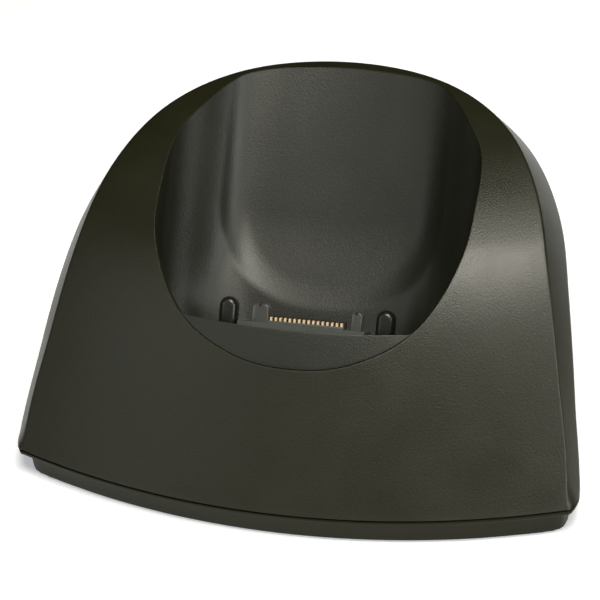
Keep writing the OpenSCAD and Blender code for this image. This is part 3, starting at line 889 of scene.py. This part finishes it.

# The shell, pocket and tray plastics get a painted highlight on their sharp edges (the last argument)
shell_black = moulded("shell_plastic", (0.0098, 0.0098, 0.0024), 0.36, grain=0.4, depth=0.06, edge_glint=0.25)
pocket_black = moulded("pocket_plastic", (0.0105, 0.011, 0.0065), 0.4, grain=0.4, depth=0.06, edge_glint=0.15)
tray_black = moulded("tray_plastic", (0.0115, 0.0115, 0.004), 0.42, grain=0.4, depth=0.06, specular=0.1,
                     edge_glint=0.2)
bar_grey = moulded("connector_plastic", (0.06, 0.066, 0.06), 0.42, grain=0.2, depth=0.01)
tab_grey = moulded("tab_plastic", (0.055, 0.056, 0.053), 0.16, grain=0.2, depth=0.008)
post_black = moulded("post_plastic", (0.009, 0.009, 0.007), 0.28, grain=0.25, depth=0.006)
comb_brown = moulded("comb_plastic", (0.02, 0.012, 0.006), 0.6, grain=0.2, depth=0.01, specular=0.2)
socket_black = moulded("port_plastic", (0.02, 0.02, 0.02), 0.4, depth=0.01)
socket_cream = moulded("socket_plastic", (0.72, 0.66, 0.5), 0.45, depth=0.01, mottle=0.05)
resist_green = moulded("board_resist", (0.03, 0.16, 0.06), 0.35, depth=0.01)
film_amber = moulded("flex_film", (0.55, 0.25, 0.05), 0.3, depth=0.005)
sleeve_blue = moulded("capacitor_sleeve", (0.02, 0.035, 0.12), 0.35, depth=0.005)
ferrite_grey = moulded("ferrite", (0.06, 0.06, 0.06), 0.7, depth=0.03)
chip_black = moulded("chip_plastic", (0.02, 0.02, 0.022), 0.6, depth=0.01)
foot_black = moulded("foot_rubber", (0.02, 0.02, 0.02), 0.8, grain=0.4, depth=0.03, specular=0.3)
gold = metal("contact_gold", (0.85, 0.66, 0.44), 0.45, metallic=0.5)
tin = metal("tail_metal", (0.8, 0.78, 0.72), 0.35)
steel = metal("screw_steel", (0.5, 0.5, 0.52), 0.35)
plate_steel = metal("ballast_steel", (0.45, 0.45, 0.47), 0.5)
nickel = metal("port_metal", (0.7, 0.69, 0.66), 0.28)

cover = top_cover()
insert = pocket_insert()
tray = base_tray()
for holed in (cover, tray):
    cut(holed, window_cutter("dc_jack"), window_cutter("usb_socket"))
for x, y in CASE_SCREWS:
    for side in (-1, 1):
        cut(tray, disc_cutter(side * x, y, CASE_BORE_R, CASE_BORE_TOP))
for node in FEET:
    low, high = node_box(node)
    x, y = (low + high)[:2] / 2
    cut(tray, disc_cutter(x, y, (high - low)[0] / 2 + FOOT_PLAY, high[2]))

post_left = locator_post("post_left", "locator_post_left")
post_right = locator_post("post_right", "locator_post_right")
tab_left = guide_tab("tab_left", left=-14.7, right=-10.1, notch_x=-12.4)
tab_right = guide_tab("tab_right", left=12.1, right=15.1, notch_x=13.5)
cut(insert, flat_box("cutter", WINDOW_LEFT, WINDOW_RIGHT, low=FLOOR_OUT - 5, high=FLOOR_OUT + 1,
                     front=-WINDOW_HALF, back=WINDOW_HALF))
comb = flat_box("contact_comb", -RAIL_END, RAIL_END, RAIL_LOW, high=0.95, front=0.9, back=2.1, edge=0.2)
rail = flat_box("contact_rail", -RAIL_END, RAIL_END, RAIL_LOW, high=-0.3, front=-1.9, back=-0.8, edge=0.15)

SHELLS = [(cover, shell_black, "cover_plastic", "top_cover"),
          (insert, pocket_black, "insert_plastic", "pocket_insert"),
          (tray, tray_black, "tray_plastic", "base_tray"),
          (post_left, post_black, "post_plastic", "locator_post_left"),
          (post_right, post_black, "post_plastic", "locator_post_right"),
          (tab_left, tab_grey, "tab_plastic", "guide_tab_left"),
          (tab_right, tab_grey, "tab_plastic", "guide_tab_right"),
          (comb, comb_brown, "connector_plastic", None),
          (rail, bar_grey, "connector_plastic", None)]
for piece, material, slot, node in SHELLS:
    smooth_shaded(piece, 32)
    finish_with(piece, material)
    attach(piece, "cradle")
    if node:
        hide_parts(node)

for number in range(CONTACTS):
    softened(f"contact_{number + 1:02d}", 0, gold)

# Width of the softened edges in millimetres, and material
CAD_FINISH = {
    "connector_housing": (0.12, bar_grey), "contact_tails": (0, tin), "connector_board": (0, resist_green),
    "dock_flex_socket": (0.15, socket_cream), "flex_cable": (0, film_amber),
    "main_flex_socket": (0.15, socket_cream), "main_board": (0, resist_green),
    "ballast_plate": (0.3, plate_steel), "dc_jack": (0.3, socket_black), "jack_pin": (0, nickel),
    "usb_socket": (0, nickel), "usb_tongue": (0.1, socket_black), "capacitor_left": (0.3, sleeve_blue),
    "capacitor_right": (0.3, sleeve_blue), "inductor": (0.2, ferrite_grey),
    "charger_chip": (0.1, chip_black), "usb_chip": (0.1, chip_black), "case_screws": (0.2, steel),
    "insert_screws": (0.2, steel), "connector_screws": (0.2, steel), "board_screws": (0.2, steel)}
CAD_FINISH.update({node: (0, foot_black) for node in FEET})
for node, (width, material) in CAD_FINISH.items():
    softened(node, width, material)


# ---- Studio ----

def studio_floor():
    """Wide pale floor with a little glow, so that it stays white round the cradle."""
    half = 8.0
    mesh = bpy.data.meshes.new("floor")
    corners = [(-half, -half, 0), (half, -half, 0), (half, half, 0), (-half, half, 0)]
    mesh.from_pydata(corners, [], [(0, 1, 2, 3)])
    floor = bpy.data.objects.new("floor", mesh)
    bpy.context.scene.collection.objects.link(floor)
    material, nodes, links, shader = new_material("floor_paint")
    coords = nodes.new("ShaderNodeTexCoord")
    tone = two_tone(nodes, links, noise(nodes, links, coords, 3), (0.93, 0.93, 0.93), (0.95, 0.95, 0.95))
    links.new(tone, shader.inputs["Base Color"])
    shader.inputs["Roughness"].default_value = 0.9
    shader.inputs["Specular IOR Level"].default_value = 0.1
    shader.inputs["Emission Color"].default_value = (0.9, 0.93, 1, 1)
    shader.inputs["Emission Strength"].default_value = 0.36
    finish_with(floor, material)


def studio_walls():
    """Pale surroundings, bright at the level of the floor and dark overhead."""
    world = bpy.data.worlds.new("studio")
    bpy.context.scene.world = world
    world.use_nodes = True
    nodes = world.node_tree.nodes
    links = world.node_tree.links
    coords = nodes.new("ShaderNodeTexCoord")
    parts = nodes.new("ShaderNodeSeparateXYZ")
    links.new(coords.outputs["Generated"], parts.inputs["Vector"])
    glow = spread(nodes, links, parts.outputs["Z"], 0.02, 0.3, 0.14, 0.04)
    links.new(glow, nodes["Background"].inputs["Strength"])
    nodes["Background"].inputs["Color"].default_value = (1, 1, 1, 1)


def softbox(name, azimuth, elevation, distance, size, power, color=(1, 1, 1)):
    """Area light that faces the cradle. Azimuth 0 is in front and 90 to the right, in degrees."""
    lamp = bpy.data.lights.new(name, "AREA")
    lamp.shape = "RECTANGLE"
    lamp.size, lamp.size_y = size
    lamp.energy = power
    lamp.color = color
    turn, rise = math.radians(azimuth), math.radians(elevation)
    target = Vector((0, 0, 0.03))
    towards = Vector((math.sin(turn) * math.cos(rise), -math.cos(turn) * math.cos(rise), math.sin(rise)))
    place = target + towards * distance
    holder = bpy.data.objects.new(name, lamp)
    holder.location = place
    holder.rotation_euler = (target - place).to_track_quat("-Z", "Y").to_euler()
    bpy.context.scene.collection.objects.link(holder)


def camera():
    """Camera at the photograph's angle."""
    azimuth, elevation, roll = math.radians(17.78), math.radians(41.18), math.radians(-6.70)
    place = Vector((0.1323, -0.4282, 0.4253))
    sensor, lens = 36.0, 133.836
    forward = Vector((-math.sin(azimuth) * math.cos(elevation), math.cos(azimuth) * math.cos(elevation),
                      -math.sin(elevation)))
    right = Vector((math.cos(azimuth), math.sin(azimuth), 0))
    up = right.cross(forward)
    right, up = (right * math.cos(roll) + up * math.sin(roll),
                 up * math.cos(roll) - right * math.sin(roll))
    view = bpy.data.cameras.new("camera")
    view.sensor_width = sensor
    view.lens = lens
    view.clip_start = 0.01
    holder = bpy.data.objects.new("camera", view)
    turn = Matrix((right, up, -forward)).transposed().to_4x4()
    holder.matrix_world = Matrix.Translation(place) @ turn
    bpy.context.scene.collection.objects.link(holder)
    bpy.context.scene.camera = holder


studio_floor()
studio_walls()
softbox("key", azimuth=36, elevation=72, distance=0.8, size=(0.36, 0.36), power=6.1, color=(1, 0.97, 0.86))
softbox("front", azimuth=-8, elevation=40, distance=1.2, size=(1.1, 0.9), power=0.92, color=(0.96, 1, 0.93))
softbox("left", azimuth=-45, elevation=36, distance=1.1, size=(0.45, 0.45), power=0.85)
softbox("right", azimuth=60, elevation=30, distance=0.9, size=(0.34, 0.34), power=2.5, color=(0.97, 1, 0.95))
bpy.context.scene.view_settings.view_transform = "Standard"
camera()
